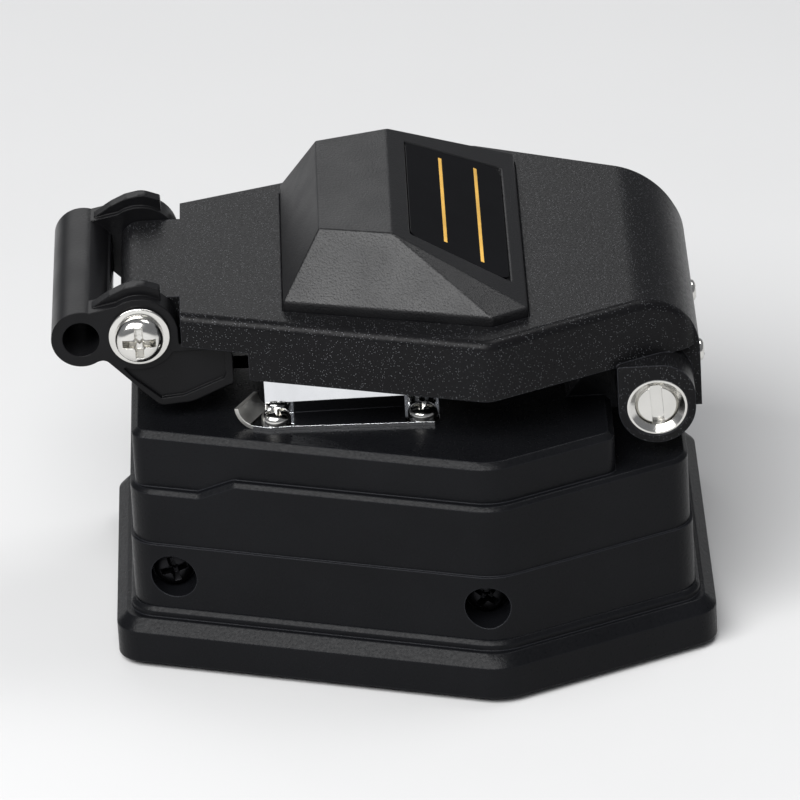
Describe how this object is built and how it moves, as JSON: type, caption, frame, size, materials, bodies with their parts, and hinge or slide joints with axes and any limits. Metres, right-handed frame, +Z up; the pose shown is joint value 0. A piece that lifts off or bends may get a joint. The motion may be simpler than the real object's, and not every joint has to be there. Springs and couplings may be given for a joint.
{
  "type": "fibre cleaver",
  "caption": "Bench cleaver for optical fibre with a tapering stepped base, a hinged lid with a raised cover, a pivoting front latch, and a round blade on a sliding carriage.",
  "frame": {"origin": "centre of the bounding box in plan, on the underside of the rubber mat", "axes": "+Z up; +Y from the latch towards the lid's hinge; +X to the side with the guard; the blade runs along Y"},
  "size_m": [0.067, 0.0744, 0.0508],
  "materials": {
    "black_paint": "fine textured black paint on die casting",
    "lid_paint": "satin black paint with a fine sparkle",
    "black_plastic": "fine grained black plastic",
    "label_black": "glossy black, bare",
    "bright_nickel": "bright nickel plate",
    "polished_steel": "polished stainless sheet",
    "machined_steel": "machined and ground steel",
    "black_rubber": "matt black rubber",
    "aluminium": "clear anodised aluminium",
    "dark_steel": "blackened steel",
    "carbide": "ground carbide"
  },
  "bodies": {
    "base": {"base_plate": "black_paint", "base_mat": "black_rubber", "base_casting": "black_paint", "base_screws": "bright_nickel", "side_screws": "dark_steel", "hinge_shaft": "bright_nickel", "lower_clamp_blocks": "machined_steel", "lower_pads": "black_rubber", "catch_bracket": "polished_steel", "catch_pin": "machined_steel", "slide_rail": "machined_steel", "rail_screws": "bright_nickel", "fibre_guide": "aluminium", "cover_pin": "machined_steel", "guard_plate": "polished_steel", "guard_screws": "bright_nickel"},
    "lid": {"lid_shell": "lid_paint", "hump_cover": "black_plastic", "label_plate": "label_black", "hinge_bushes": "bright_nickel", "rear_screws": "bright_nickel", "clamp_carrier": "aluminium", "upper_pads": "black_rubber", "latch_screws": "bright_nickel", "latch_washers": "bright_nickel"},
    "anvil": {"anvil": "black_rubber"},
    "latch": {"latch_frame": "black_plastic"},
    "carriage": {"slide_block": "aluminium", "blade_bracket": "aluminium", "push_tab": "black_plastic", "blade_axle": "bright_nickel"},
    "blade": {"blade_wheel": "carbide"},
    "cover": {"guide_cover": "black_plastic"}
  },
  "joints": [
    {"name": "lid_hinge", "type": "hinge", "parent": "base", "child": "lid", "pos_m": [0, 0.03105, 0.0303], "axis": [-1, 0, 0], "range_deg": [0, 80]},
    {"name": "latch_pivot", "type": "hinge", "parent": "lid", "child": "latch", "pos_m": [0, -0.02715, 0.0397], "axis": [-1, 0, 0], "range_deg": [0, 25], "stiffness_Nm_per_rad": 0.02, "springref_deg": -17.19},
    {"name": "anvil_press", "type": "slide", "parent": "lid", "child": "anvil", "axis": [0, 0, 1], "range_m": [-0.0003, 0.0006], "stiffness_N_per_m": 200},
    {"name": "carriage_slide", "type": "slide", "parent": "base", "child": "carriage", "axis": [0, 1, 0], "range_m": [0, 0.018]},
    {"name": "blade_index", "type": "hinge", "parent": "carriage", "child": "blade", "pos_m": [0, -0.009, 0.0216], "axis": [1, 0, 0], "continuous": true},
    {"name": "cover_hinge", "type": "hinge", "parent": "base", "child": "cover", "pos_m": [-0.0168, 0.004, 0.0322], "axis": [-1, 0, 0], "range_deg": [0, 95]}
  ]
}
